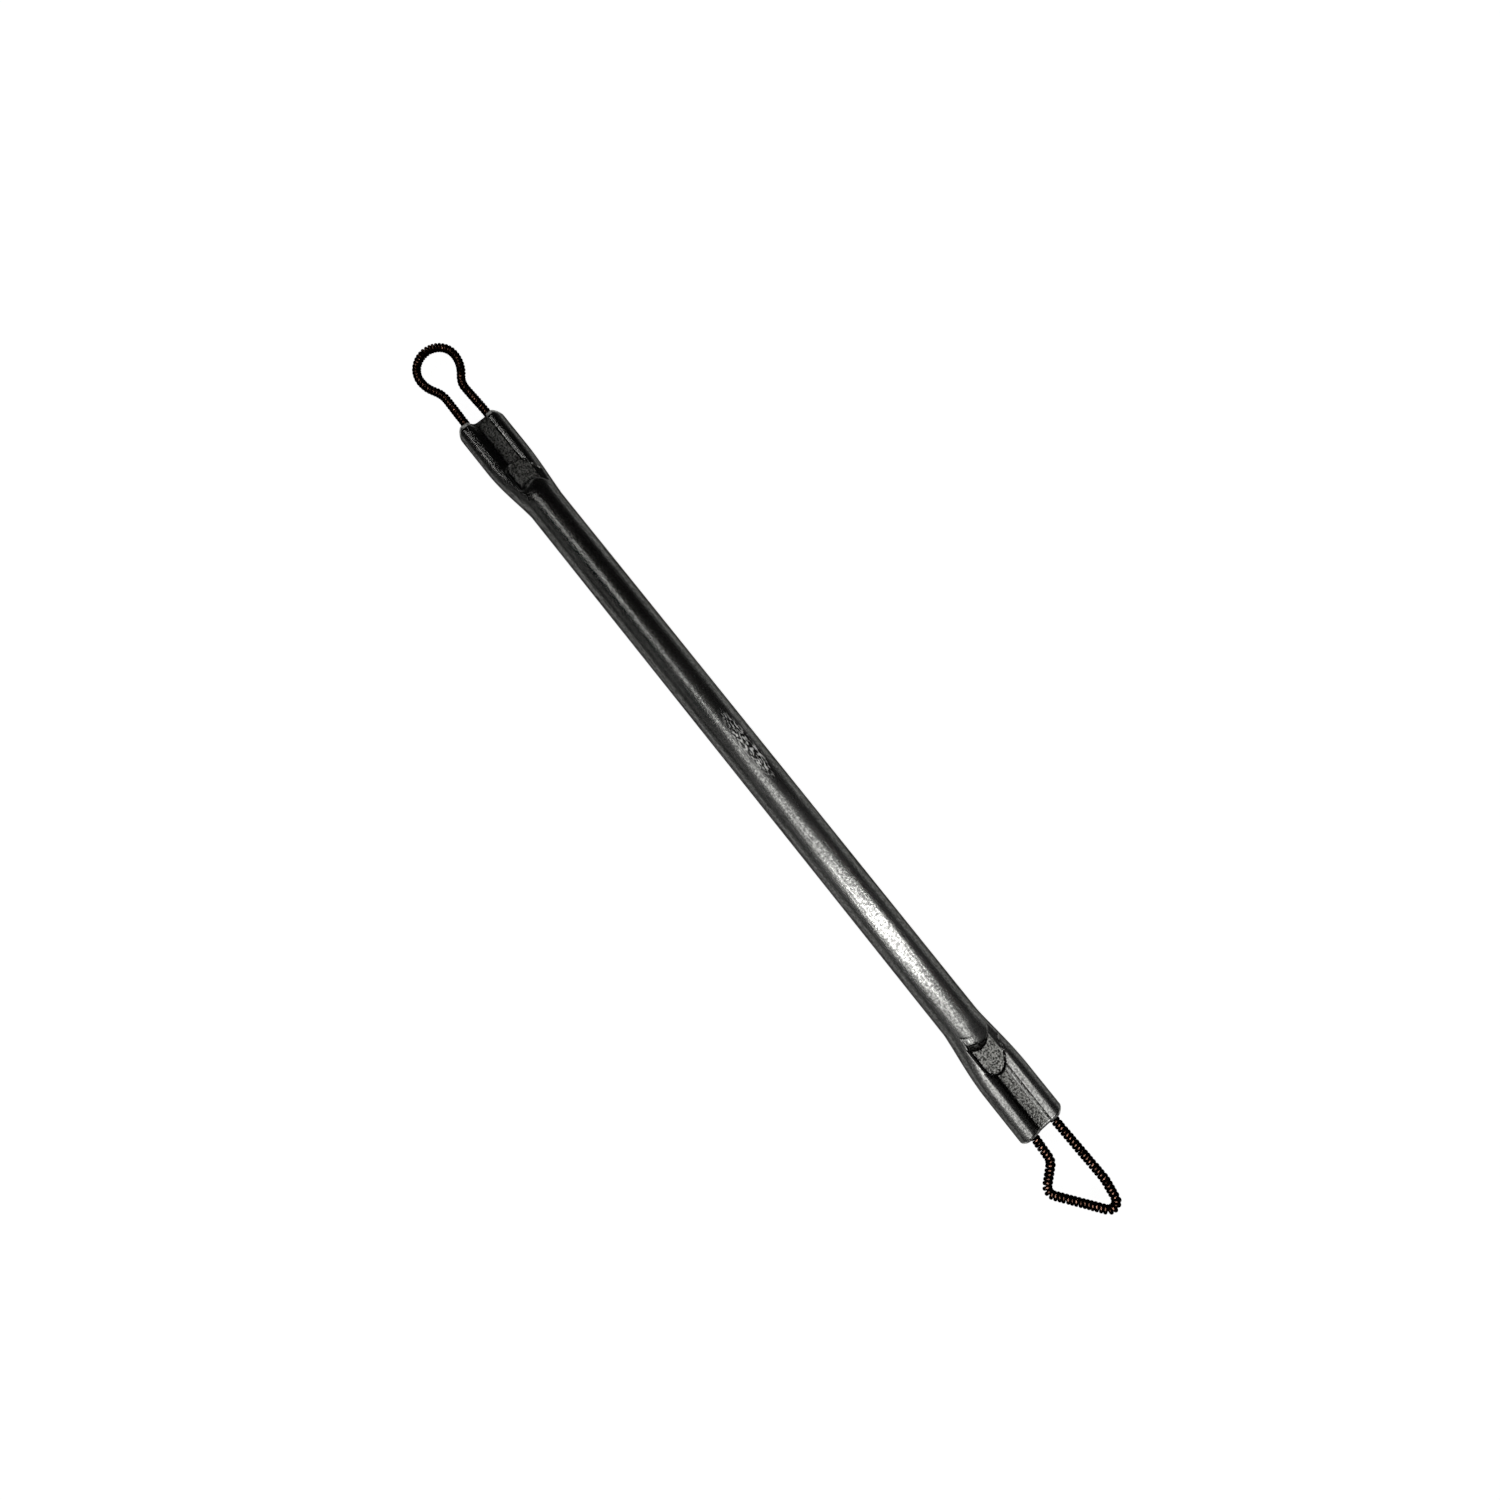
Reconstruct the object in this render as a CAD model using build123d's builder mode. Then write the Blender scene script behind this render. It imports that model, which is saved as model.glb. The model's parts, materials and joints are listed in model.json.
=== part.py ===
from build123d import *
import os
from math import cos, pi, radians, sin, tan

# A double-ended wire loop tool: a metal tube, flattened and crimped at both ends, holds a loop of
# wound wire in each end. Sizes are in millimetres.
# Frame: the origin is on the tube's axis, halfway along it. +X runs along the tube to the angled
# loop and -X to the round loop. Both loops lie flat in the XY plane, and +Z is up.

# ---- Handle tube
handle_length = 142.6
tube_diameter = 6.35
tube_wall = 0.89
bore_taper_length = 2.2  # how far into each flare the bore takes to close
flare_length = 10.8  # from the round shank to the flattened width
crimp_length = 8.3  # the flattened stretch, up to the tube's end
crimp_width = 8.16
crimp_height = 4.0
crimp_squareness = 3.0  # superellipse exponent of the flattened section, where 2 is an ellipse
flare_quickness = 1.2  # how late the width starts to grow along the flare
flare_stations = 4  # sections that guide the flare between the shank and the crimp
outline_points = 24
end_rounding = 0.35

# ---- Press marks on both faces of each end
groove_length = 10.2  # deep groove, measured back from the tube's end
groove_floor_width = 2.0
groove_top_width = 2.9
web_thickness = 1.8  # the two tube walls pressed together under the groove
shelf_height = 1.9  # the shallower step behind the groove, above the mid-plane
shelf_length = 3.9
shelf_width = 4.6
shelf_run_in = 2.2  # length of the slope from the round top down to the shelf

# ---- Wound wire
winding_diameter = 1.42
core_diameter = 0.50
core_clearance = 0.01
socket_clearance = 0.01
leg_left = 1.85  # the two legs' places across the tube, on +Y and on -Y
leg_right = -2.10
leg_depth = 13.0  # how far the wound legs reach into the tube
core_stick_out = 0.5  # bare core past the winding's end, inside the tube
mouth_bend_reach = 0.6  # each leg starts to lean this far outside the tube's end
mouth_bend_radius = 8.0

# ---- Round loop, by its centre line: reaches are measured out from the tube's end
round_radius = 3.6
round_centre_reach = 11.75
round_centre_y = 0.08
round_side_straight = 0.1  # between each shoulder and the far half circle
shoulder_radius = 5.5
neck_left_y = 1.56
neck_right_y = -2.00
neck_left_turn = 40.0  # degrees that each leg turns outward at the neck
neck_right_turn = 28.0
neck_left_radius = 3.4
neck_right_radius = 5.0

# ---- Angled loop, by the corners of its centre line: (reach from the tube's end, Y)
knee_corner = (11.0, 2.14)
tip_corner = (16.52, 1.21)
heel_corner = (7.50, -5.88)
throat_corner = (4.37, -2.32)
knee_radius = 5.0
tip_radius = 1.2
heel_radius = 1.3
throat_radius = 1.6

# ---- Worked out from the sizes above
handle_half = handle_length / 2
crimp_start = handle_half - crimp_length
shank_half = crimp_start - flare_length
tube_radius = tube_diameter / 2
bore_radius = tube_radius - tube_wall
winding_radius = winding_diameter / 2
core_radius = core_diameter / 2
socket_radius = winding_radius + socket_clearance
leg_end = handle_half - leg_depth
core_end = leg_end - core_stick_out
groove_start = handle_half - groove_length
shelf_start = groove_start - shelf_length


def flattened_outline(width, height, squareness):
    """A closed superellipse outline, drawn in the current line context from +Y round to +Y."""
    points = []
    for step in range(outline_points):
        angle = 2 * pi * step / outline_points
        across = abs(cos(angle) / (width / 2)) ** squareness
        upward = abs(sin(angle) / (height / 2)) ** squareness
        reach = (across + upward) ** (-1 / squareness)
        points.append((reach * cos(angle), reach * sin(angle)))
    Spline(*points, periodic=True)


def flare_section(share):
    """The tube's width, height and squareness at a share of the way along the flare."""
    widened = sin(pi / 2 * share**flare_quickness)
    lowered = share * share * (3 - 2 * share)
    width = tube_diameter + (crimp_width - tube_diameter) * widened
    height = tube_diameter + (crimp_height - tube_diameter) * lowered
    return width, height, 2 + (crimp_squareness - 2) * lowered


# ---- Handle: one end is shaped, mirrored to the other end, and joined by the round shank
with BuildPart() as handle_tube:
    # Flare, from the shank's circle to the flattened section
    with BuildSketch(Plane.YZ.offset(shank_half)):
        Circle(tube_radius)
    for station in range(1, flare_stations + 1):
        flare_share = station / flare_stations
        with BuildSketch(Plane.YZ.offset(shank_half + flare_length * flare_share)):
            with BuildLine():
                flattened_outline(*flare_section(flare_share))
            make_face()
    loft()

    # Flattened stretch, with its rim rounded over
    with BuildSketch(Plane.YZ.offset(crimp_start)):
        with BuildLine():
            flattened_outline(crimp_width, crimp_height, crimp_squareness)
        make_face()
    extrude(amount=crimp_length)
    fillet(handle_tube.faces().sort_by(Axis.X)[-1].edges(), end_rounding)

    # Deep groove between the two lobes, on both faces
    groove_slope = (groove_top_width - groove_floor_width) / (crimp_height - web_thickness)
    groove_open_width = groove_floor_width + groove_slope * (tube_diameter - web_thickness)
    with BuildSketch(Plane.YZ.offset(groove_start)):
        with BuildLine():
            Polyline(
                (groove_floor_width / 2, web_thickness / 2),
                (groove_open_width / 2, tube_radius),
                (-groove_open_width / 2, tube_radius),
                (-groove_floor_width / 2, web_thickness / 2),
                close=True,
            )
        make_face()
        mirror(about=Plane.XZ)
    extrude(amount=groove_length, mode=Mode.SUBTRACT)

    # Shelf and the slope down to it, on both faces
    with BuildSketch(Plane.XZ):
        with BuildLine():
            Polyline(
                (shelf_start - shelf_run_in, tube_radius),
                (shelf_start, shelf_height),
                (groove_start, shelf_height),
                (groove_start, tube_radius),
                close=True,
            )
        make_face()
        mirror(about=Plane.XZ)
    extrude(amount=shelf_width / 2, both=True, mode=Mode.SUBTRACT)

    # The bore's end, closing in a cone where the walls were pressed together, and the legs' sockets
    with Locations((shank_half, 0, 0)):
        Cone(
            bore_radius,
            core_radius,
            bore_taper_length,
            rotation=(0, 90, 0),
            align=(Align.CENTER, Align.CENTER, Align.MIN),
            mode=Mode.SUBTRACT,
        )
    with BuildSketch(Plane.YZ.offset(shank_half)):
        with Locations((leg_left, 0), (leg_right, 0)):
            Circle(socket_radius)
    extrude(amount=handle_half - shank_half, mode=Mode.SUBTRACT)

    # The other end, the shank between them and its bore
    mirror(about=Plane.YZ)
    Cylinder(tube_radius, 2 * shank_half, rotation=(0, 90, 0))
    Cylinder(bore_radius, 2 * shank_half, rotation=(0, 90, 0), mode=Mode.SUBTRACT)
handle_tube.part.label = "handle_tube"


def round_loop_line(end):
    """Draw the round loop's centre line, from its left leg's end at X = -end to its right leg's."""
    mouth = handle_half + mouth_bend_reach
    centre = handle_half + round_centre_reach
    far_start = centre + round_side_straight
    left = round_centre_y + round_radius
    right = round_centre_y - round_radius
    left_turn = radians(neck_left_turn)
    right_turn = radians(neck_right_turn)
    left_shoulder = centre - shoulder_radius * tan(left_turn / 2)
    right_shoulder = centre - shoulder_radius * tan(right_turn / 2)
    left_neck = left_shoulder - (left - neck_left_y) / tan(left_turn)
    right_neck = right_shoulder - (neck_right_y - right) / tan(right_turn)
    FilletPolyline(
        (-end, leg_left),
        (-mouth, leg_left),
        (-left_neck, neck_left_y),
        (-left_shoulder, left),
        (-far_start, left),
        radius=[mouth_bend_radius, neck_left_radius, shoulder_radius],
    )
    ThreePointArc((-far_start, left), (-far_start - round_radius, round_centre_y), (-far_start, right))
    FilletPolyline(
        (-far_start, right),
        (-right_shoulder, right),
        (-right_neck, neck_right_y),
        (-mouth, leg_right),
        (-end, leg_right),
        radius=[shoulder_radius, neck_right_radius, mouth_bend_radius],
    )


def angled_loop_line(end):
    """Draw the angled loop's centre line, from its left leg's end at X = end to its right leg's."""
    mouth = handle_half + mouth_bend_reach
    bends = [(handle_half + reach, y) for reach, y in (knee_corner, tip_corner, heel_corner, throat_corner)]
    FilletPolyline(
        (end, leg_left),
        (mouth, leg_left),
        *bends,
        (mouth, leg_right),
        (end, leg_right),
        radius=[mouth_bend_radius, knee_radius, tip_radius, heel_radius, throat_radius, mouth_bend_radius],
    )


def sweep_round(draw_line, end, radius, hollow_radius=0):
    """Sweep a round bar, or a sleeve if hollow_radius is given, along a loop's centre line."""
    with BuildLine() as route:
        draw_line(end)
    with BuildSketch(route.line ^ 0) as section:
        Circle(radius)
        if hollow_radius:
            Circle(hollow_radius, mode=Mode.SUBTRACT)
    sweep(sections=section.sketch, path=route.line)


# ---- Round loop: a core wire inside its winding
with BuildPart() as round_loop_core:
    sweep_round(round_loop_line, core_end, core_radius)
round_loop_core.part.label = "round_loop_core"

with BuildPart() as round_loop_winding:
    sweep_round(round_loop_line, leg_end, winding_radius, core_radius + core_clearance)
round_loop_winding.part.label = "round_loop_winding"

# ---- Angled loop: the same wound wire bent to a corner, a straight side and a narrow tip
with BuildPart() as angled_loop_core:
    sweep_round(angled_loop_line, core_end, core_radius)
angled_loop_core.part.label = "angled_loop_core"

with BuildPart() as angled_loop_winding:
    sweep_round(angled_loop_line, leg_end, winding_radius, core_radius + core_clearance)
angled_loop_winding.part.label = "angled_loop_winding"

os.makedirs("parts", exist_ok=True)
export_step(handle_tube.part, "parts/handle_tube.step")
export_step(round_loop_core.part, "parts/round_loop_core.step")
export_step(round_loop_winding.part, "parts/round_loop_winding.step")
export_step(angled_loop_core.part, "parts/angled_loop_core.step")
export_step(angled_loop_winding.part, "parts/angled_loop_winding.step")
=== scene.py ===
import json
import math
import random

import bpy
import numpy as np
from mathutils import Matrix, Vector


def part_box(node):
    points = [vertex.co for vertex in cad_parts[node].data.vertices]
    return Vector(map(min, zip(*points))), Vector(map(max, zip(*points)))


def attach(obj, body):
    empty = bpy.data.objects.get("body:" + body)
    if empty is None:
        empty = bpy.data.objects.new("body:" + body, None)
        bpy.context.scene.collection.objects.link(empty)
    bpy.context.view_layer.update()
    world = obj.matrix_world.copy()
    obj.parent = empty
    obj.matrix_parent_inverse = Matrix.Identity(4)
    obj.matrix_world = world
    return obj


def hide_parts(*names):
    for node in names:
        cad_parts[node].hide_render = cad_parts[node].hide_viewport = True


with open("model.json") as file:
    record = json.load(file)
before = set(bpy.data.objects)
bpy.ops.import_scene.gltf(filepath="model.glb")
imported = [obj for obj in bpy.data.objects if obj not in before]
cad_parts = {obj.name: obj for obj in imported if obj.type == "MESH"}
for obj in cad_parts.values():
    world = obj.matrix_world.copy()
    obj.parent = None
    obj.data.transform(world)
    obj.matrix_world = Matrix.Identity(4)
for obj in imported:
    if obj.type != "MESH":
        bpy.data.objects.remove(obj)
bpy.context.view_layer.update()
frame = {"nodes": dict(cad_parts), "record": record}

# A double-ended wire loop tool lying on a table. Lengths below are in millimetres, in the part's own
# frame: +X runs along the tube to the angled loop, both loops lie flat in the XY plane, +Z is up.
MM = 0.001

# ---- Handle tube
handle_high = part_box("handle_tube")[1]
shank = frame["record"]["mounts"][0]["dims"]
handle_half = handle_high.x / MM
tube_radius = shank["r_mm"]
shank_half = shank["length_mm"] / 2
tube_wall = 0.89
crimp_length = 8.3
left_lobe, right_lobe = 2.2, 2.4  # from the tube's axis to each lobe's middle
left_lobe_width, right_lobe_width = 1.84, 1.68  # from a lobe's middle to its outer edge
lobe_height = 2.0
corner_share = 0.29  # how much of the outline's upper half each lobe's quarter curve takes
flare_quickness = 1.2
crimp_start = handle_half - crimp_length
flare_length = crimp_start - shank_half

# ---- Press marks, the same on both faces of each end
shelf_start = 56.9  # where the round top has dropped to the shelf, measured from mid-handle
shelf_start_curve = 0.27  # how much sooner it drops towards the sides, per square millimetre
fingertip_run = 2.5
fingertip_rise = 1.45
shelf_height = 1.70
shelf_lean = 0.08  # the die sat slightly askew, so its marks are shallower on +Y
shelf_left = 2.2
shelf_right = -1.45
shelf_fall = 0.7
shelf_wall_slope = 3.0
shelf_end_slope = 1.6
shelf_finish_margin = 0.5  # how far the pressed finish climbs the shelf's right wall
groove_start = 61.1
groove_start_curve = 0.42
groove_end_run = 0.5
groove_floor_height = 0.88
groove_floor_curve = 0.0925
groove_floor_middle = 0.14
groove_left = 1.5
groove_right = -0.7
groove_left_slope = 10.0
groove_right_slope = 1.15
shoulder_height = 1.86  # the left lobe slopes gently down to this at the groove's wall
shoulder_slope = 0.18
groove_finish_margin = 0.1  # how far below the shoulder the groove's pressed finish stops
tool_mark_y = 1.05
tool_mark_width = 0.10
tool_mark_height = 0.03
press_blend = 0.16
left_blend, right_blend = 0.16, 1.0
clear_of_tube = 1  # lifts the die off the metal wherever it doesn't press

# ---- Cut ends, each with a rim rounded over by deburring
flare_ring_gap = 0.12
shank_ring_gap = 2
mouth_run = 2.4  # the last stretch, whose rings turn step by step to follow the slanting cut
mouth_steps = 14
rim_steps = 7
rubbed_glint_steps = 4  # how many of the rim's rings, from the outside, the abrasive reached; their paler tone is partly a painted highlight
corner_start, corner_run, corner_limit = 2.9, 1.1, 1.1  # where a crimp's outer corners round back
corner_power = 1.6
lobe_advance_start, lobe_advance_run = 1.0, 0.9

# ---- Wound wire
winding_radius = 0.77
wrap_wire_height = 0.25  # the wrap wire is rolled slightly flat: half its height, out from the core
core_radius = 0.25
socket_radius = 0.78
leg_left = 1.85
leg_right = -2.10
leg_end = handle_half - 13.0
pitch_play = 0.10  # the turns lie unevenly, by this share of a turn
height_play = 0.012
mouth_bend = handle_half + 0.6
mouth_bend_radius = 8.0


def colour(hex_code):
    """An sRGB hex colour as linear RGBA."""
    levels = [int(hex_code[i : i + 2], 16) / 255 for i in (1, 3, 5)]
    linear = [c / 12.92 if c <= 0.04045 else ((c + 0.055) / 1.055) ** 2.4 for c in levels]
    return (*linear, 1.0)


def soft_min(a, b, blend):
    """The lower of two heights, with the crease between them rounded over."""
    share = np.clip(0.5 + 0.5 * (b - a) / blend, 0, 1)
    return b * (1 - share) + a * share - blend * share * (1 - share)


def new_piece(name, points, faces):
    """A smooth-shaded mesh object from points in millimetres."""
    mesh = bpy.data.meshes.new(name)
    mesh.from_pydata([tuple(p) for p in np.asarray(points) * MM], [], faces)
    mesh.validate()
    mesh.shade_smooth()
    piece = bpy.data.objects.new(name, mesh)
    bpy.context.scene.collection.objects.link(piece)
    return piece


def skin_rings(rings):
    """Quads between closed rings of equal length that follow one another."""
    count = len(rings[0])
    faces = []
    for r in range(len(rings) - 1):
        for i in range(count):
            j = (i + 1) % count
            faces.append((r * count + i, r * count + j, (r + 1) * count + j, (r + 1) * count + i))
    return faces


# ---- Handle

RING_POINTS = 232


def outline(reach, shift):
    """The tube's outline across its axis, as (y, z), at a distance from mid-handle, before pressing."""
    share = min(max((reach - shank_half) / flare_length, 0), 1)
    widened = math.sin(math.pi / 2 * share**flare_quickness)
    lowered = share * share * (3 - 2 * share)
    half = RING_POINTS // 2
    along = np.arange(half + 1) / half
    # The flattened outline: a lobe's quarter curve, the flat top, and the other lobe's quarter curve
    from_left = np.minimum(along / corner_share, 1) * np.pi / 2
    from_right = np.minimum((1 - along) / corner_share, 1) * np.pi / 2
    across = np.clip((along - corner_share) / (1 - 2 * corner_share), 0, 1)
    lobed_y = left_lobe * (1 - across) - right_lobe * across + shift
    lobed_y += left_lobe_width * np.cos(from_left) - right_lobe_width * np.cos(from_right)
    lobed_z = lobe_height * np.minimum(np.sin(from_left), np.sin(from_right))
    round_y = tube_radius * np.cos(np.pi * along)
    round_z = tube_radius * np.sin(np.pi * along)
    y = round_y + (lobed_y - round_y) * widened
    z = round_z + (lobed_z - round_z) * lowered
    return np.concatenate([y, y[-2:0:-1]]), np.concatenate([z, -z[-2:0:-1]])


def shelf_die(reach, y):
    """Height of the shelf and of the rounded slope down to it."""
    foot = shelf_start - shelf_start_curve * y**2
    along = np.clip((foot - reach) / fingertip_run, 0, 1)
    fingertip = fingertip_rise * np.sqrt(1 - (1 - along) ** 2)
    wall = shelf_wall_slope * np.maximum(0, shelf_right - y)
    fall = shelf_fall * np.maximum(0, y - shelf_left)
    far_wall = shelf_end_slope * np.maximum(0, reach - groove_start + groove_start_curve * y**2)
    height = shelf_height + shelf_lean * y + wall - fall + fingertip + far_wall
    return np.where(reach < foot - fingertip_run, tube_radius + clear_of_tube, height)


def groove_die(reach, y, marked):
    """Height of the groove's floor, its two side walls and the curved wall at its start."""
    floor = groove_floor_height + groove_floor_curve * (y - groove_floor_middle) ** 2
    left_wall = groove_left_slope * np.maximum(0, y - groove_left)
    right_wall = groove_right_slope * np.maximum(0, groove_right - y)
    start = groove_start - groove_start_curve * y**2 + groove_end_run
    end_wall = np.maximum(0, start - reach) / groove_end_run
    if marked:
        floor = floor + tool_mark_height * np.exp(-(((y - tool_mark_y) / tool_mark_width) ** 2))
    left_shoulder = shoulder_height + shoulder_slope * (y - groove_left)
    shoulder = np.where(y > 0, left_shoulder, lobe_height + clear_of_tube)
    return np.minimum(floor + left_wall + right_wall, shoulder) + end_wall


def pressed_ring(reach, end):
    """One ring of the handle as (y, z, pressed), where pressed is 1 on what the die has touched."""
    y, z = outline(reach, end["shift"])
    shelf = shelf_die(reach, y)
    groove = groove_die(reach, y, end["marked"])
    die = soft_min(shelf, groove, press_blend)
    blend = np.where(y > 0, left_blend, right_blend)
    height = np.maximum(soft_min(np.abs(z), die, blend), 0)
    on_shelf = (shelf < np.abs(z)) & (y < shelf_left) & (y > shelf_right - shelf_finish_margin)
    in_groove = groove < shoulder_height - groove_finish_margin
    on_ridge = end["marked"] and (np.abs(y - tool_mark_y) < tool_mark_width) & (reach > groove_start)
    # The pressed finish, and with it the painted shade, covers the shelf and groove but not the raised
    # score line
    pressed = (on_shelf | in_groove) & np.logical_not(on_ridge)
    return y, np.sign(z) * height, pressed.astype(float)


def mouth_reach(y, end):
    """Where the tube ends: its rim was cut slightly out of square, with the corners rounded off."""
    beside = np.clip((-y - lobe_advance_start) / lobe_advance_run, 0, 1)
    advance = end["lobe_advance"] * beside * beside * (3 - 2 * beside)
    outer = np.clip((np.abs(y - end["shift"]) - corner_start) / corner_run, 0, corner_limit) ** corner_power
    corners = np.where(y > 0, end["left_corner"], end["right_corner"]) * outer
    return handle_half - end["set_back"] + end["slant"] * y + advance - corners


def end_rings(end):
    """Rings from the shank out to the rim of one end, as arrays of (reach, y, z, finish)."""
    rings = []
    mouth_start = handle_half - mouth_run
    for reach in np.arange(shank_half, mouth_start, flare_ring_gap):
        y, z, pressed = pressed_ring(reach, end)
        rings.append(np.column_stack([np.full_like(y, reach), y, z, pressed]))
    y, z, pressed = pressed_ring(mouth_start, end)
    rim_start = mouth_reach(y, end) - end["rim_run"]
    for step in range(mouth_steps + 1):
        reach = mouth_start + (rim_start - mouth_start) * step / mouth_steps
        rings.append(np.column_stack([reach, y, z, pressed]))
    # The rim turns inwards, towards a line that joins the two lobes' middles
    spine = np.column_stack([np.clip(y, -right_lobe, left_lobe), np.zeros_like(y)])
    outward = np.column_stack([y, z]) - spine
    depth = np.linalg.norm(outward, axis=1, keepdims=True)
    outward *= np.clip(depth / lobe_height, 0, 1) / depth
    for step in range(1, rim_steps + 1):
        turn = math.pi / 2 * step / rim_steps
        inset = end["rim_inset"] * (1 - math.cos(turn))
        reach = rim_start + end["rim_run"] * math.sin(turn)
        # The outer rim rings take the paler rubbed finish, partly a painted highlight; on the round end
        # only on the lobes
        rubbed = (step <= rubbed_glint_steps) & (np.abs(y) > end["rubbed_from"])
        finish = np.where(rubbed, 2, pressed)
        rings.append(np.column_stack([reach, np.column_stack([y, z]) - outward * inset, finish]))
    return rings


def cap_strips(first):
    """Faces across an end, each joining matching points of the ring's upper and lower halves."""
    half = RING_POINTS // 2
    faces = [(first, first + 1, first + RING_POINTS - 1)]
    for i in range(1, half - 1):
        faces.append((first + i, first + i + 1, first + RING_POINTS - i - 1, first + RING_POINTS - i))
    faces.append((first + half - 1, first + half, first + half + 1))
    return faces


def make_handle(drawn, pressed, deburred_glint):
    """The tube: round shank, flared ends pressed flat and grooved, rounded rims."""
    angled_end = dict(
        shift=-0.10,  # how far the crimp sits off the tube's axis
        marked=True,  # whether the die's score line shows in the groove
        set_back=0.0,  # how much shorter the tube is cut here
        slant=-0.0625,  # how far out of square, per millimetre across
        lobe_advance=0.0,  # how much further out the right lobe's rim stands
        left_corner=0.40,  # how far each outer corner is rounded back
        right_corner=0.15,
        rubbed_from=0.0,  # how far off the axis the rim starts to be rubbed pale, partly as a painted highlight
        rim_inset=0.45,  # how far the rim turns inwards
        rim_run=0.5,  # and over what length
    )
    round_end = dict(
        shift=-0.28,
        marked=False,
        set_back=0.47,
        slant=-0.03,
        lobe_advance=0.75,
        left_corner=0.5,
        right_corner=0.5,
        rubbed_from=1.35,
        rim_inset=0.7,
        rim_run=1.15,
    )
    rings = [ring * (-1, 1, 1, 1) for ring in reversed(end_rings(round_end))]
    for reach in np.arange(-shank_half + shank_ring_gap, shank_half - shank_ring_gap / 2, shank_ring_gap):
        y, z = outline(0, 0)
        rings.append(np.column_stack([np.full_like(y, reach), y, z, np.zeros_like(y)]))
    rings += end_rings(angled_end)
    last = (len(rings) - 1) * RING_POINTS
    faces = [tuple(reversed(f)) for f in skin_rings(rings)]
    faces += [tuple(reversed(f)) for f in cap_strips(0)]
    faces += cap_strips(last)
    points = np.concatenate(rings)
    handle = new_piece("handle_tube_pressed", points[:, :3], faces)
    # Finish 0 is the drawn skin, 1 what the die pressed, darker partly as painted shade, and 2 the rubbed
    # rim, paler partly as a painted highlight; a face takes its lowest
    handle.data.materials.append(drawn)
    handle.data.materials.append(pressed)
    handle.data.materials.append(deburred_glint)
    for face in handle.data.polygons:
        face.material_index = int(min(points[v, 3] for v in face.vertices))
    return handle


def lathe_along_x(name, profile, y, steps=48):
    """A turned shape from (x, radius) pairs, on an axis parallel to the tube's. Known fault: its sides face
    inwards and its ends outwards, as the handle's do too."""
    angle = np.arange(steps) * 2 * np.pi / steps
    rings = []
    for x, radius in profile:
        across = [y + radius * np.cos(angle), radius * np.sin(angle)]
        rings.append(np.stack([np.full(steps, x), *across], axis=1))
    last = (len(rings) - 1) * steps
    faces = [tuple(reversed(range(steps))), tuple(range(last, last + steps))]
    faces += [tuple(reversed(f)) for f in skin_rings(rings)]
    return new_piece(name, np.concatenate(rings), faces)


def cut(piece, cutters):
    """Subtract each cutter from a piece and delete it."""
    for cutter in cutters:
        step = piece.modifiers.new("cut", "BOOLEAN")
        step.operation = "DIFFERENCE"
        step.solver = "EXACT"
        step.object = cutter
        bpy.context.view_layer.update()
        seen = piece.evaluated_get(bpy.context.evaluated_depsgraph_get())
        carved = bpy.data.meshes.new_from_object(seen)
        piece.modifiers.clear()
        piece.data = carved
        bpy.data.objects.remove(cutter)


def hollow_out(handle):
    """Meant to cut the bore along the shank and a socket for each leg. Known fault: with the faces as they
    are, no wall is left in the handle by any cut, only an open rim where a leg enters a mouth."""
    bore = tube_radius - tube_wall
    taper = 2.2  # over this length past the shank the bore closes to a core wire's radius
    profile = [(-shank_half - taper, core_radius), (-shank_half, bore), (shank_half, bore)]
    profile.append((shank_half + taper, core_radius))
    cutters = [lathe_along_x("bore", profile, 0)]
    past_mouth = 2
    for end in (-1, 1):
        for leg in (leg_left, leg_right):
            reaches = sorted((end * shank_half, end * (handle_half + past_mouth)))
            cutters.append(lathe_along_x("socket", [(x, socket_radius) for x in reaches], leg))
    cut(handle, cutters)


# ---- Wound wire loops


def rounded_line(corners, radii, spacing=0.04):
    """Evenly spaced points along straight runs joined by tangent arcs."""
    corners = [np.array(c, float) for c in corners]
    points = [corners[0]]
    for before, corner, after, radius in zip(corners, corners[1:], corners[2:], radii):
        into = (corner - before) / np.linalg.norm(corner - before)
        out = (after - corner) / np.linalg.norm(after - corner)
        turn = math.atan2(into[0] * out[1] - into[1] * out[0], into @ out)
        start = corner - into * radius * math.tan(abs(turn) / 2)
        side = math.copysign(1, turn)
        centre = start + side * radius * np.array([-into[1], into[0]])
        steps = max(4, int(abs(turn) * radius / spacing))
        for step in range(steps + 1):
            swing = turn * step / steps
            arm = start - centre
            turned = np.array(
                [
                    arm[0] * math.cos(swing) - arm[1] * math.sin(swing),
                    arm[0] * math.sin(swing) + arm[1] * math.cos(swing),
                ]
            )
            points.append(centre + turned)
    points.append(corners[-1])
    points = np.array(points)
    # Where one arc starts as the last ends, only one of the two points is kept
    gaps = np.linalg.norm(np.diff(points, axis=0), axis=1)
    kept = np.concatenate([[True], gaps > 1e-6])
    points = points[kept]
    along = np.concatenate([[0], np.cumsum(np.linalg.norm(np.diff(points, axis=0), axis=1))])
    even = np.arange(0, along[-1], spacing)
    return np.stack([np.interp(even, along, points[:, 0]), np.interp(even, along, points[:, 1])], axis=1)


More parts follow.
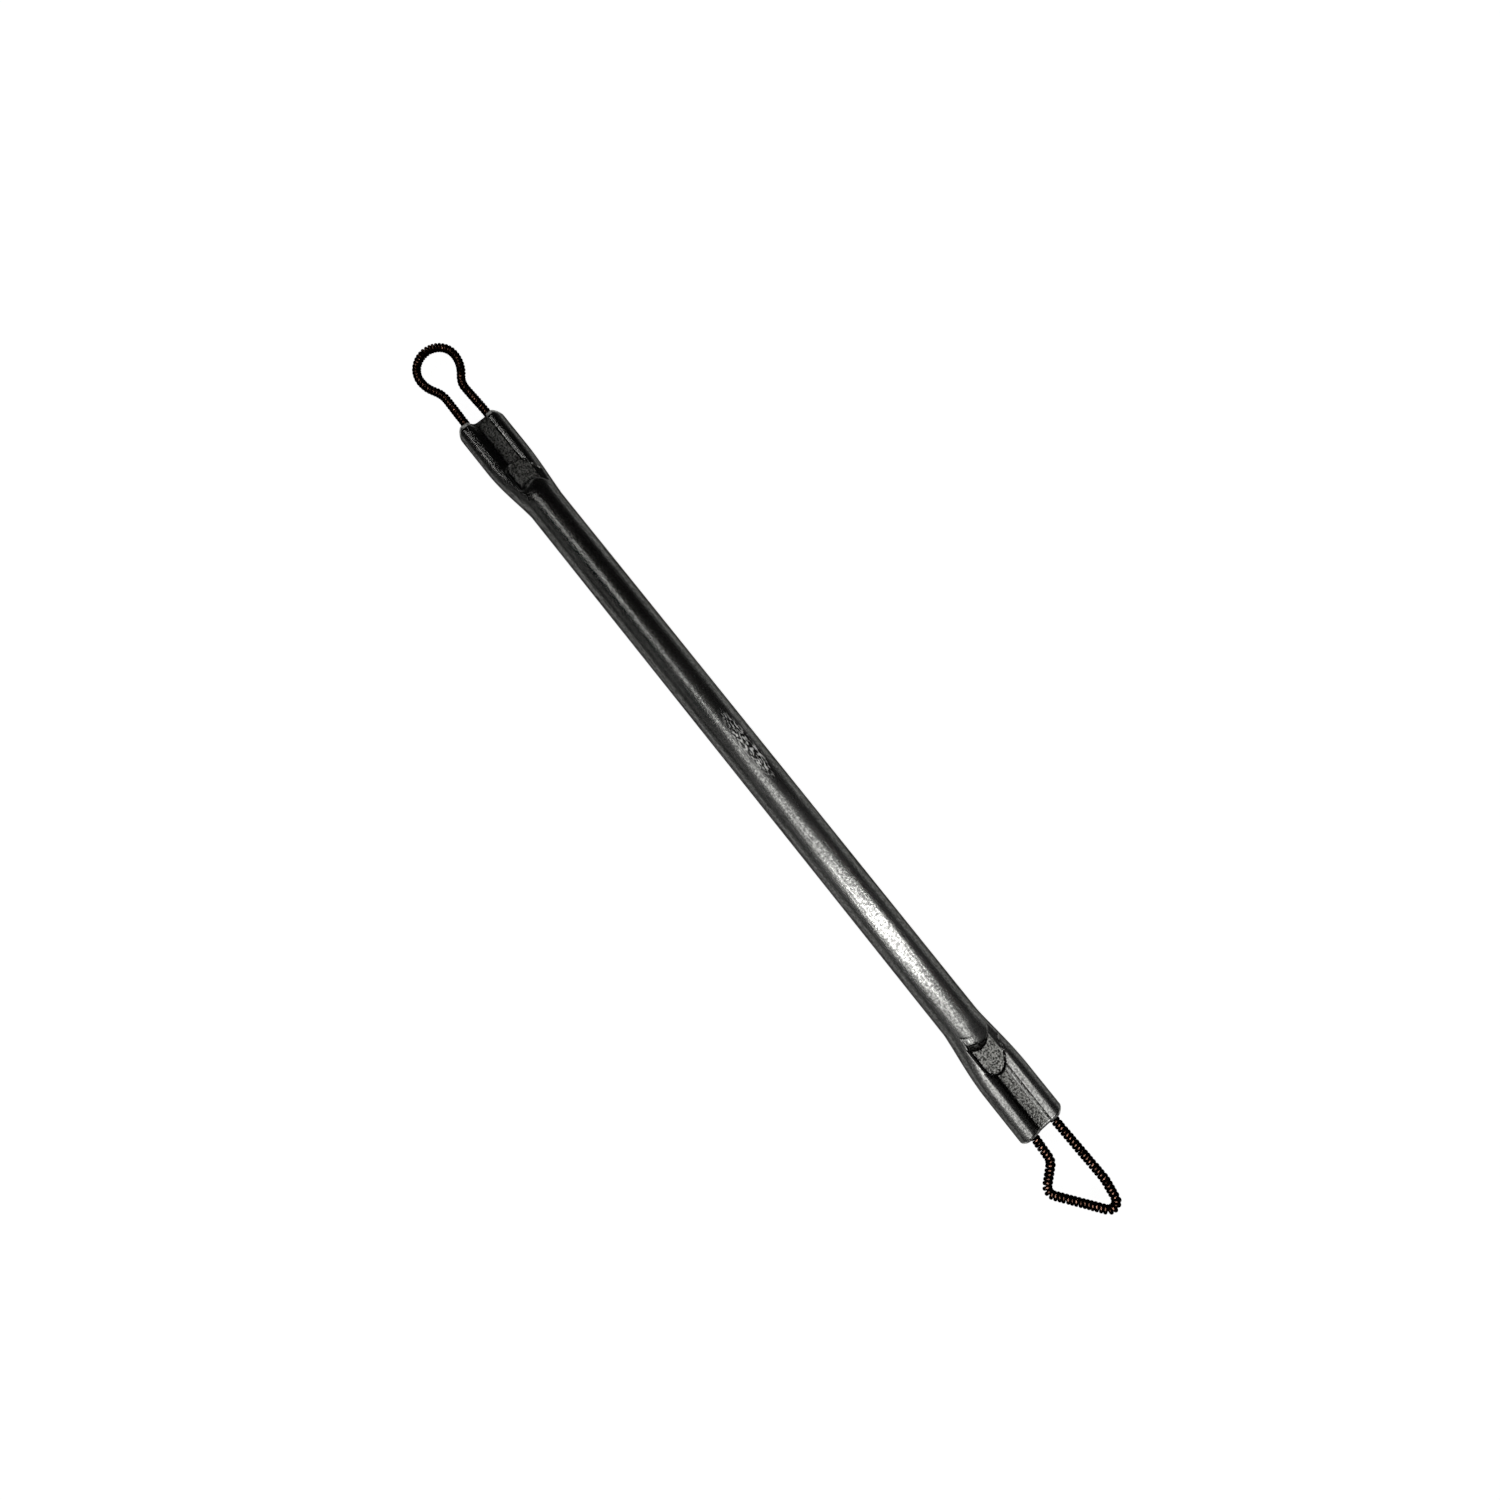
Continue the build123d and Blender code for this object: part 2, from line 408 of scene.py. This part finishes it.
def round_loop_line():
    """Centre line of the round loop, from one leg's end in the tube to the other's."""
    radius = 3.6
    shoulder = 5.5
    centre = handle_half + 11.75
    middle = 0.08
    side_straight = 0.1
    left, right = middle + radius, middle - radius
    far = centre + side_straight + radius
    left_turn, right_turn = math.radians(40), math.radians(28)
    left_shoulder = centre - shoulder * math.tan(left_turn / 2)
    right_shoulder = centre - shoulder * math.tan(right_turn / 2)
    neck_left, neck_right = 1.56, -2.0
    left_neck_radius, right_neck_radius = 3.4, 5.0
    left_neck = left_shoulder - (left - neck_left) / math.tan(left_turn)
    right_neck = right_shoulder - (neck_right - right) / math.tan(right_turn)
    corners = [
        (leg_end, leg_left),
        (mouth_bend, leg_left),
        (left_neck, neck_left),
        (left_shoulder, left),
        (far, left),
        (far, right),
        (right_shoulder, right),
        (right_neck, neck_right),
        (mouth_bend, leg_right),
        (leg_end, leg_right),
    ]
    left_radii = [mouth_bend_radius, left_neck_radius, shoulder, radius]
    right_radii = [radius, shoulder, right_neck_radius, mouth_bend_radius]
    return rounded_line([(-reach, y) for reach, y in corners], left_radii + right_radii)


def angled_loop_line():
    """Centre line of the angled loop: straight run, narrow tip, slanting side, heel and throat."""
    run, tip, heel, throat = (11.0, 2.14), (16.52, 1.21), (7.50, -5.88), (4.37, -2.32)
    run_radius, tip_radius, heel_radius, throat_radius = 5.0, 1.2, 1.3, 1.6
    corners = [(leg_end, leg_left), (mouth_bend, leg_left)]
    corners += [(handle_half + reach, y) for reach, y in (run, tip, heel, throat)]
    corners += [(mouth_bend, leg_right), (leg_end, leg_right)]
    bend_radii = [run_radius, tip_radius, heel_radius, throat_radius]
    return rounded_line(corners, [mouth_bend_radius, *bend_radii, mouth_bend_radius])


def wind_wire(name, line, pitch, seed):
    """A thin wire wound turn by turn along a flat centre line."""
    chance = random.Random(seed)
    steps_per_turn = 22
    wire_sides = 12
    spacing = np.linalg.norm(line[1] - line[0])
    length = spacing * (len(line) - 1)
    turns = int(length / pitch)
    nudge = [chance.uniform(-1, 1) for _ in range(turns + 2)]
    phase = np.arange(turns * steps_per_turn + 1) / steps_per_turn
    uneven = np.interp(phase, np.arange(turns + 2), nudge)
    along = np.clip((phase + pitch_play * uneven) * length / turns, 0, length)
    grid = np.arange(len(line)) * spacing
    centre = np.stack([np.interp(along, grid, line[:, i]) for i in (0, 1)], axis=1)
    heading = np.gradient(line, axis=0)
    heading /= np.linalg.norm(heading, axis=1, keepdims=True)
    heading = np.stack([np.interp(along, grid, heading[:, i]) for i in (0, 1)], axis=1)
    heading /= np.linalg.norm(heading, axis=1, keepdims=True)
    side = np.stack([-heading[:, 1], heading[:, 0]], axis=1)
    turn = phase * 2 * np.pi
    arm = winding_radius - wrap_wire_height - height_play + height_play * uneven
    radial = np.column_stack([side * np.cos(turn)[:, None], np.sin(turn)])
    helix = np.column_stack([centre, np.zeros(len(centre))]) + radial * arm[:, None]
    tangent = np.gradient(helix, axis=0)
    tangent /= np.linalg.norm(tangent, axis=1, keepdims=True)
    outward = radial - tangent * np.sum(radial * tangent, axis=1, keepdims=True)
    outward /= np.linalg.norm(outward, axis=1, keepdims=True)
    binormal = np.cross(tangent, outward)
    angle = np.arange(wire_sides) * 2 * np.pi / wire_sides
    rings = []
    for point, out, bi in zip(helix, outward, binormal):
        height = wrap_wire_height * np.outer(np.cos(angle), out)
        rings.append(point + height + pitch / 2 * np.outer(np.sin(angle), bi))
    faces = skin_rings(rings)
    faces.append(tuple(reversed(range(wire_sides))))
    last = (len(rings) - 1) * wire_sides
    faces.append(tuple(range(last, last + wire_sides)))
    wire = new_piece(name, np.concatenate(rings), faces)
    # How near each point lies to its turn's outer crest, above or below the loop, where the material paints
    # a highlight
    crown = wire.data.attributes.new("crown", "FLOAT", "POINT")
    crown.data.foreach_set("value", np.outer(np.abs(np.sin(turn)), np.cos(angle)).ravel())
    return wire


# ---- Materials


def add_node(tree, kind, inputs=None, **settings):
    """Add a node with its settings, and fill or link its inputs."""
    node = tree.nodes.new(kind)
    for key, value in settings.items():
        setattr(node, key, value)
    for key, value in (inputs or {}).items():
        if isinstance(value, bpy.types.NodeSocket):
            tree.links.new(value, node.inputs[key])
        else:
            node.inputs[key].default_value = value
    return node


def new_material(name):
    """An empty material and its node tree."""
    material = bpy.data.materials.new(name)
    material.use_nodes = True
    material.node_tree.nodes.clear()
    return material, material.node_tree


def place_in_mm(tree):
    """Where each point lies on its piece, in millimetres, to lay textures by."""
    place = add_node(tree, "ShaderNodeTexCoord").outputs["Object"]
    return add_node(tree, "ShaderNodeMapping", {"Vector": place, "Scale": (1000, 1000, 1000)}).outputs[0]


def finish_material(tree, shader):
    """Join a shader to the surface."""
    add_node(tree, "ShaderNodeOutputMaterial", {"Surface": shader.outputs["BSDF"]})


def drawn_steel():
    """Bare steel tube, drawn through a die: a dark grey skin whose faint lines along the tube spread each
    highlight round it, with a fine grain that glints, small dark pits, and a patch at mid-length scuffed
    by handling."""
    material, tree = new_material("drawn_steel")
    in_mm = place_in_mm(tree)
    # The real grain is about 0.05 mm across, too fine to show, so it is drawn at about 0.3 mm
    grain = add_node(
        tree, "ShaderNodeTexNoise", {"Vector": in_mm, "Scale": 3.0, "Detail": 2.0, "Roughness": 0.6}
    ).outputs["Fac"]
    # Die lines 0.4 mm apart that run some 8 mm along the tube
    stretched = add_node(tree, "ShaderNodeMapping", {"Vector": in_mm, "Scale": (0.12, 2.5, 2.5)}).outputs[0]
    lines = add_node(
        tree, "ShaderNodeTexNoise", {"Vector": stretched, "Scale": 1.0, "Detail": 2.0}
    ).outputs["Fac"]
    # Handling stains some 6 mm across
    stains = add_node(
        tree, "ShaderNodeTexNoise", {"Vector": in_mm, "Scale": 0.16, "Detail": 2.0}
    ).outputs["Fac"]
    faint_lines = add_node(tree, "ShaderNodeMath", {0: lines, 1: 0.35}, operation="MULTIPLY").outputs[0]
    tone = add_node(
        tree, "ShaderNodeMath", {0: grain, 1: 0.65, 2: faint_lines}, operation="MULTIPLY_ADD"
    ).outputs[0]
    ramp = add_node(tree, "ShaderNodeValToRGB", {"Fac": tone})
    ramp.color_ramp.elements[0].position = 0.38
    ramp.color_ramp.elements[0].color = colour("#3c3c3b")
    ramp.color_ramp.elements[1].position = 0.62
    ramp.color_ramp.elements[1].color = colour("#6a6a68")
    dulled = add_node(
        tree,
        "ShaderNodeMapRange",
        {"Value": tone, "From Min": 0.35, "From Max": 0.65, "To Min": 0.24, "To Max": 0.17},
    ).outputs[0]
    rough = add_node(
        tree, "ShaderNodeMath", {0: stains, 1: 0.06, 2: dulled}, operation="MULTIPLY_ADD"
    ).outputs[0]
    around = add_node(tree, "ShaderNodeTangent", direction_type="RADIAL", axis="X").outputs[0]
    # The scuffed patch is about 13 mm long and 2 mm wide, and fades out at its edge
    on_patch = add_node(
        tree,
        "ShaderNodeMapping",
        {"Vector": in_mm, "Location": (-0.6, 1.2, 3.0), "Scale": (7.4, 1.15, 1.5)},
        vector_type="TEXTURE",
    ).outputs[0]
    patch = add_node(
        tree, "ShaderNodeTexGradient", {"Vector": on_patch}, gradient_type="SPHERICAL"
    ).outputs["Fac"]
    # Its scratches cross the tube at a slant, about 0.2 mm apart and 0.8 mm long
    slanted = add_node(
        tree, "ShaderNodeMapping", {"Vector": in_mm, "Rotation": (0, 0, 1.0), "Scale": (1.3, 4.5, 1.0)}
    ).outputs[0]
    scratches = add_node(
        tree, "ShaderNodeTexNoise", {"Vector": slanted, "Scale": 1.0, "Detail": 3.0}
    ).outputs["Fac"]
    scratched = add_node(
        tree, "ShaderNodeMapRange", {"Value": scratches, "From Min": 0.48, "From Max": 0.60}
    ).outputs[0]
    inside = add_node(
        tree, "ShaderNodeMapRange", {"Value": patch, "From Min": 0.0, "From Max": 0.35}
    ).outputs[0]
    scuff = add_node(tree, "ShaderNodeMath", {0: scratched, 1: inside}, operation="MULTIPLY").outputs[0]
    scuffed_tone = add_node(
        tree,
        "ShaderNodeMix",
        {"Factor": scuff, "A": ramp.outputs["Color"], "B": colour("#b0b0ae")},
        data_type="RGBA",
    ).outputs["Result"]
    scuffed_rough = add_node(
        tree, "ShaderNodeMath", {0: scuff, 1: 0.3, 2: rough}, operation="MULTIPLY_ADD"
    ).outputs[0]
    bump = add_node(
        tree, "ShaderNodeBump", {"Height": tone, "Strength": 1.0, "Distance": 0.000025}
    ).outputs[0]
    shader = add_node(
        tree,
        "ShaderNodeBsdfPrincipled",
        {
            "Base Color": scuffed_tone,
            "Metallic": 1.0,
            "Roughness": scuffed_rough,
            "Specular Tint": colour("#909090"),
            "Anisotropic": 0.80,
            "Tangent": around,
            "Normal": bump,
        },
    )
    finish_material(tree, shader)
    return material


def pressed_steel():
    """The same steel where the crimping die bit into it: a pebbled, matt grey that spreads the light, its
    darkness partly the die's finish and partly painted shade in the recessed shelf and groove.
    """
    material, tree = new_material("pressed_steel")
    in_mm = place_in_mm(tree)
    # The die's spark-eroded face leaves pebbles about 0.3 mm across
    pebbles = add_node(
        tree, "ShaderNodeTexNoise", {"Vector": in_mm, "Scale": 3.4, "Detail": 2.0, "Roughness": 0.55}
    ).outputs["Fac"]
    # Dark tones, partly painted shade in the recessed shelf and groove
    ramp = add_node(tree, "ShaderNodeValToRGB", {"Fac": pebbles})
    ramp.color_ramp.elements[0].position = 0.40
    ramp.color_ramp.elements[0].color = colour("#141413")
    ramp.color_ramp.elements[1].position = 0.60
    ramp.color_ramp.elements[1].color = colour("#474745")
    bump = add_node(
        tree, "ShaderNodeBump", {"Height": pebbles, "Strength": 1.0, "Distance": 0.00008}
    ).outputs[0]
    shader = add_node(
        tree,
        "ShaderNodeBsdfPrincipled",
        {
            "Base Color": ramp.outputs["Color"],
            "Metallic": 1.0,
            "Roughness": 0.34,
            "Specular Tint": colour("#6a6a6a"),
            "Normal": bump,
        },
    )
    finish_material(tree, shader)
    return material


def deburred_steel():
    """The steel at each cut rim, rubbed smooth with an abrasive: paler and brighter than the drawn skin,
    which is partly a painted highlight on the rim.
    """
    material, tree = new_material("deburred_steel")
    in_mm = place_in_mm(tree)
    # Rubbing marks about 0.3 mm apart
    rubbing = add_node(
        tree, "ShaderNodeTexNoise", {"Vector": in_mm, "Scale": 3.5, "Detail": 2.0}
    ).outputs["Fac"]
    # The pale tones are partly a painted highlight on the rim
    ramp = add_node(tree, "ShaderNodeValToRGB", {"Fac": rubbing})
    ramp.color_ramp.elements[0].position = 0.35
    ramp.color_ramp.elements[0].color = colour("#5c5c5a")
    ramp.color_ramp.elements[1].position = 0.65
    ramp.color_ramp.elements[1].color = colour("#a6a6a3")
    shader = add_node(
        tree,
        "ShaderNodeBsdfPrincipled",
        {"Base Color": ramp.outputs["Color"], "Metallic": 1.0, "Roughness": 0.36},
    )
    finish_material(tree, shader)
    return material


def blackened_bronze():
    """Bronze winding wire, chemically blackened: nearly black, with the bronze showing warm in rubbed
    patches, and a pale painted highlight on the outer crests of every turn."""
    material, tree = new_material("blackened_bronze")
    in_mm = place_in_mm(tree)
    # Patches of rubbed blackening, about 0.8 mm across
    rubbed = add_node(
        tree, "ShaderNodeTexNoise", {"Vector": in_mm, "Scale": 1.3, "Detail": 3.0}
    ).outputs["Fac"]
    rubbed_share = add_node(tree, "ShaderNodeMath", {0: rubbed, 1: 0.5}, operation="MULTIPLY").outputs[0]
    # Each turn's outer crests, above and below, are painted pale as a highlight
    crown = add_node(tree, "ShaderNodeAttribute", attribute_name="crown").outputs["Fac"]
    bare_and_glint = add_node(
        tree, "ShaderNodeMath", {0: crown, 1: 0.7, 2: rubbed_share}, operation="MULTIPLY_ADD"
    ).outputs[0]
    # Only the rubbed patches and the painted highlight on the crests rise out of the black
    ramp = add_node(tree, "ShaderNodeValToRGB", {"Fac": bare_and_glint})
    ramp.color_ramp.elements[0].position = 0.84
    ramp.color_ramp.elements[0].color = colour("#050201")
    ramp.color_ramp.elements[1].position = 1.0
    ramp.color_ramp.elements[1].color = colour("#64493d")
    rough = add_node(
        tree,
        "ShaderNodeMapRange",
        {"Value": rubbed, "From Min": 0.3, "From Max": 0.7, "To Min": 0.24, "To Max": 0.15},
    ).outputs[0]
    shader = add_node(
        tree,
        "ShaderNodeBsdfPrincipled",
        {
            "Base Color": ramp.outputs["Color"],
            "Metallic": 1.0,
            "Roughness": rough,
            "Specular Tint": colour("#4a4040"),
        },
    )
    finish_material(tree, shader)
    return material


def music_wire():
    """Hard-drawn steel core wire, darkened by the same blackening that reached between the turns."""
    material, tree = new_material("music_wire")
    in_mm = place_in_mm(tree)
    # The film's cloudiness, about 0.5 mm across
    film = add_node(
        tree, "ShaderNodeTexNoise", {"Vector": in_mm, "Scale": 2.0, "Detail": 2.0}
    ).outputs["Fac"]
    ramp = add_node(tree, "ShaderNodeValToRGB", {"Fac": film})
    ramp.color_ramp.elements[0].color = colour("#1c1716")
    ramp.color_ramp.elements[1].color = colour("#3a302d")
    shader = add_node(
        tree,
        "ShaderNodeBsdfPrincipled",
        {"Base Color": ramp.outputs["Color"], "Metallic": 1.0, "Roughness": 0.4},
    )
    finish_material(tree, shader)
    return material


def table_paper():
    """Matt white paper under the tool: an even pale ground with no gloss."""
    material, tree = new_material("table_paper")
    shader = add_node(
        tree,
        "ShaderNodeBsdfPrincipled",
        {
            "Base Color": colour("#f4f4f3"),
            "Roughness": 0.9,
            "Specular IOR Level": 0.1,
            "Emission Color": colour("#ffffff"),
            "Emission Strength": 0.93,
        },
    )
    finish_material(tree, shader)
    return material


def pale_curtain():
    """Matt off-white cloth with no gloss, evenly lit: a soft pale ground behind the table."""
    material, tree = new_material("pale_curtain")
    shader = add_node(
        tree,
        "ShaderNodeBsdfPrincipled",
        {
            "Base Color": colour("#c8c8c6"),
            "Roughness": 1.0,
            "Specular IOR Level": 0.0,
            "Emission Color": colour("#f2f2f1"),
            "Emission Strength": 0.9,
        },
    )
    finish_material(tree, shader)
    return material


def wear(piece, material):
    """Give a piece its material."""
    piece.data.materials.clear()
    piece.data.materials.append(material)


# ---- The tool

steel = drawn_steel()
die_pressed_shaded = pressed_steel()
bronze = blackened_bronze()
core_wire = music_wire()

handle = make_handle(steel, die_pressed_shaded, deburred_steel())
hollow_out(handle)
handle.data.shade_smooth()
handle.data.set_sharp_from_angle(angle=math.radians(50))
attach(handle, "root")
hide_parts("handle_tube")

round_winding = wind_wire("round_loop_wrap", round_loop_line(), pitch=0.55, seed=3)
wear(round_winding, bronze)
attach(round_winding, "root")
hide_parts("round_loop_winding")

angled_winding = wind_wire("angled_loop_wrap", angled_loop_line(), pitch=0.60, seed=8)
wear(angled_winding, bronze)
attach(angled_winding, "root")
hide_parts("angled_loop_winding")

for node in ("round_loop_core", "angled_loop_core"):
    core = frame["nodes"][node]
    for slot in core.material_slots:
        slot.material = core_wire

# ---- Table, lights and camera


def lay_table():
    """A plain pale table top just under the tool."""
    reach = 1500.0
    height = -tube_radius
    corners = [(x * reach, y * reach, height) for x, y in ((-1, -1), (1, -1), (1, 1), (-1, 1))]
    table = new_piece("table_top", corners, [(0, 1, 2, 3)])
    table.data.materials.append(table_paper())


def hang_backdrop():
    """A pale curtain all round the table, kept out of the metal's reflections."""
    sides = 64
    reach, height = 1400.0, 1400.0
    ring = [(reach * math.cos(a), reach * math.sin(a)) for a in np.arange(sides) * 2 * math.pi / sides]
    corners = [(x, y, z) for z in (-tube_radius - 1, height) for x, y in ring]
    walls = [(i, (i + 1) % sides, sides + (i + 1) % sides, sides + i) for i in range(sides)]
    curtain = new_piece("backdrop", corners, walls + [tuple(range(2 * sides - 1, sides - 1, -1))])
    curtain.data.materials.append(pale_curtain())
    curtain.visible_glossy = False
    curtain.visible_diffuse = False
    curtain.visible_shadow = False


def area_light(name, place, aim, size, watts, lights="metal", shape="RECTANGLE"):
    """An area light that only the metal sees, as its reflection, or that only lights the table."""
    light = bpy.data.lights.new(name, "AREA")
    light.shape = shape
    light.size, light.size_y = (s * MM for s in size)
    light.energy = watts
    lamp = bpy.data.objects.new(name, light)
    lamp.location = Vector(place) * MM
    lamp.rotation_euler = (Vector(aim) - Vector(place)).to_track_quat("-Z", "Y").to_euler()
    lamp.visible_camera = False
    lamp.visible_glossy = lights == "metal"
    lamp.visible_diffuse = lights == "table"
    bpy.context.scene.collection.objects.link(lamp)


def light_studio():
    """A dark studio: a soft oval light over the tool's front half with a tube lamp across it, a second soft
    light beyond the angled end, a slim strip over the rear half and a short one past the round end, a dim
    panel at one side, a lamp off the round end, and a wide fill that only the table sees."""
    area_light("oval_softbox", (46, -45, 205), (46, -45, 0), (176, 210), 0.40, shape="ELLIPSE")
    area_light("tube_lamp", (39, -20, 204), (39, -20, 0), (11, 340), 0.36)
    area_light("crimp_softbox", (118, -52, 205), (118, -52, 0), (92, 96), 0.31, shape="ELLIPSE")
    area_light("slim_strip", (-53, -24, 205), (-53, -24, 0), (134, 16), 0.08)
    area_light("short_strip", (-155, -58, 205), (-155, -58, 0), (44, 12), 0.03)
    area_light("side_panel", (0, -260, 160), (0, 0, 0), (400, 120), 0.05)
    area_light("end_lamp", (-330, 20, 120), (-71, 0, 0), (160, 160), 0.08)
    area_light("table_fill", (0, 0, 900), (0, 0, 0), (1800, 1800), 2.0, lights="table")
    world = bpy.data.worlds.new("dark_studio")
    world.use_nodes = True
    world.node_tree.nodes["Background"].inputs["Color"].default_value = colour("#141414")
    bpy.context.scene.world = world


def place_camera():
    """A close camera above the tool, leaning a little towards the angled loop."""
    lean = math.radians(9.269)
    roll = math.radians(51.28)
    back = Vector((math.sin(lean), 0, math.cos(lean)))
    along = Vector((math.cos(lean), 0, -math.sin(lean)))
    right = along * math.cos(roll) + Vector((0, 1, 0)) * math.sin(roll)
    up = Vector((0, 1, 0)) * math.cos(roll) - along * math.sin(roll)
    aim = Vector((0.1, 0.9, 0)) * MM
    distance = 200
    camera = bpy.data.objects.new("camera", bpy.data.cameras.new("camera"))
    turn = Matrix((right, up, back)).transposed().to_4x4()
    camera.matrix_world = Matrix.Translation(aim + back * distance * MM) @ turn
    camera.data.sensor_width = 36
    camera.data.angle = math.radians(60.68)
    camera.data.clip_start = 0.005
    bpy.context.scene.collection.objects.link(camera)
    bpy.context.scene.camera = camera


lay_table()
hang_backdrop()
light_studio()
place_camera()
bpy.context.scene.view_settings.view_transform = "Standard"
